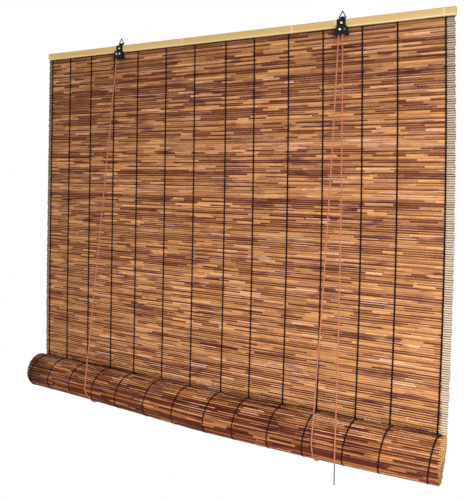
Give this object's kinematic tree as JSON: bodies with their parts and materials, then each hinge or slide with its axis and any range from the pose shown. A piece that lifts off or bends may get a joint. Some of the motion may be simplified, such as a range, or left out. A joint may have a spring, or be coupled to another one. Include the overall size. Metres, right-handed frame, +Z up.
{
  "type": "roll-up blind",
  "caption": "Reed roll-up blind on bamboo head battens, hung by wire rings on black hangers, its lower part wound up in cord loops that a pull cord lifts.",
  "frame": {"origin": "on the line through the inner tops of the two hanging rings, over the middle of the mat's width and in the mat's plane", "axes": "+X along the battens to the viewer's right, -Y towards the viewer, +Z up"},
  "size_m": [1, 0.1041, 0.8974],
  "materials": {
    "bamboo": "satin",
    "pale_thread": "matte",
    "black_sheet": "satin",
    "rivet_steel": "polished",
    "reed": "satin",
    "black_thread": "matte",
    "cord": "matte",
    "wheel_plastic": "matte",
    "cam_steel": "satin",
    "cord_tip": "matte",
    "reed_roll": "satin",
    "rod_wood": "matte"
  },
  "bodies": {
    "headrail": {"front_batten": "bamboo", "rear_batten": "bamboo", "batten_ties": "pale_thread", "left_hanger": "black_sheet", "right_hanger": "black_sheet", "clamp_rivets": "rivet_steel", "axle_rivets": "rivet_steel", "hanging_mat": "reed", "hanging_threads": "black_thread", "left_front_cord": "cord", "right_front_cord": "cord", "left_back_cord": "cord", "right_back_cord": "cord", "back_staples": "rivet_steel", "transfer_cord": "cord", "right_over_cord": "cord", "join_knot": "cord", "pull_cord_upper": "cord"},
    "left_ring": {"left_ring": "black_sheet"},
    "right_ring": {"right_ring": "black_sheet"},
    "left_wheel": {"left_wheel": "wheel_plastic"},
    "right_wheel": {"right_wheel": "wheel_plastic"},
    "left_cam": {"left_cam": "cam_steel"},
    "right_cam": {"right_cam": "cam_steel"},
    "cord_loops": {"left_wrap_cord": "cord", "right_wrap_cord": "cord", "pull_cord_tail": "cord", "pull_cord_tip": "cord_tip"},
    "roll": {"rolled_mat": "reed_roll", "roll_threads": "black_thread", "bottom_rod": "rod_wood"}
  },
  "joints": [
    {"name": "left_ring_swing", "type": "hinge", "parent": "headrail", "child": "left_ring", "pos_m": [-0.267, 0, -0.011], "axis": [1, 0, 0], "range_deg": [-90, 90]},
    {"name": "right_ring_swing", "type": "hinge", "parent": "headrail", "child": "right_ring", "pos_m": [0.286, 0, -0.011], "axis": [1, 0, 0], "range_deg": [-90, 90]},
    {"name": "roll_lift", "type": "slide", "parent": "headrail", "child": "cord_loops", "axis": [0, 0, 1], "range_m": [0, 0.6], "deforming": ["hanging_mat", "hanging_threads", "left_front_cord", "right_front_cord", "left_back_cord", "right_back_cord", "pull_cord_upper"]},
    {"name": "roll_turn", "type": "hinge", "parent": "cord_loops", "child": "roll", "pos_m": [0, -0.043, -0.82821], "axis": [1, 0, 0], "range_deg": [-720, 0]},
    {"name": "left_wheel_turn", "type": "hinge", "parent": "headrail", "child": "left_wheel", "pos_m": [-0.2665, -0.0115, -0.03841], "axis": [0, 1, 0], "continuous": true},
    {"name": "right_wheel_turn", "type": "hinge", "parent": "headrail", "child": "right_wheel", "pos_m": [0.2865, -0.0115, -0.03841], "axis": [0, 1, 0], "continuous": true},
    {"name": "left_cam_swing", "type": "hinge", "parent": "headrail", "child": "left_cam", "pos_m": [-0.2575, -0.0115, -0.03841], "axis": [0, 1, 0], "range_deg": [0, 18]},
    {"name": "right_cam_swing", "type": "hinge", "parent": "headrail", "child": "right_cam", "pos_m": [0.2955, -0.0115, -0.03841], "axis": [0, 1, 0], "range_deg": [0, 18]}
  ],
  "couplings": [
    {"joint": "roll_turn", "follows": "roll_lift", "rad_per_m": -20.94},
    {"joint": "left_wheel_turn", "follows": "roll_lift", "rad_per_m": 476.19},
    {"joint": "right_wheel_turn", "follows": "roll_lift", "rad_per_m": 476.19}
  ]
}
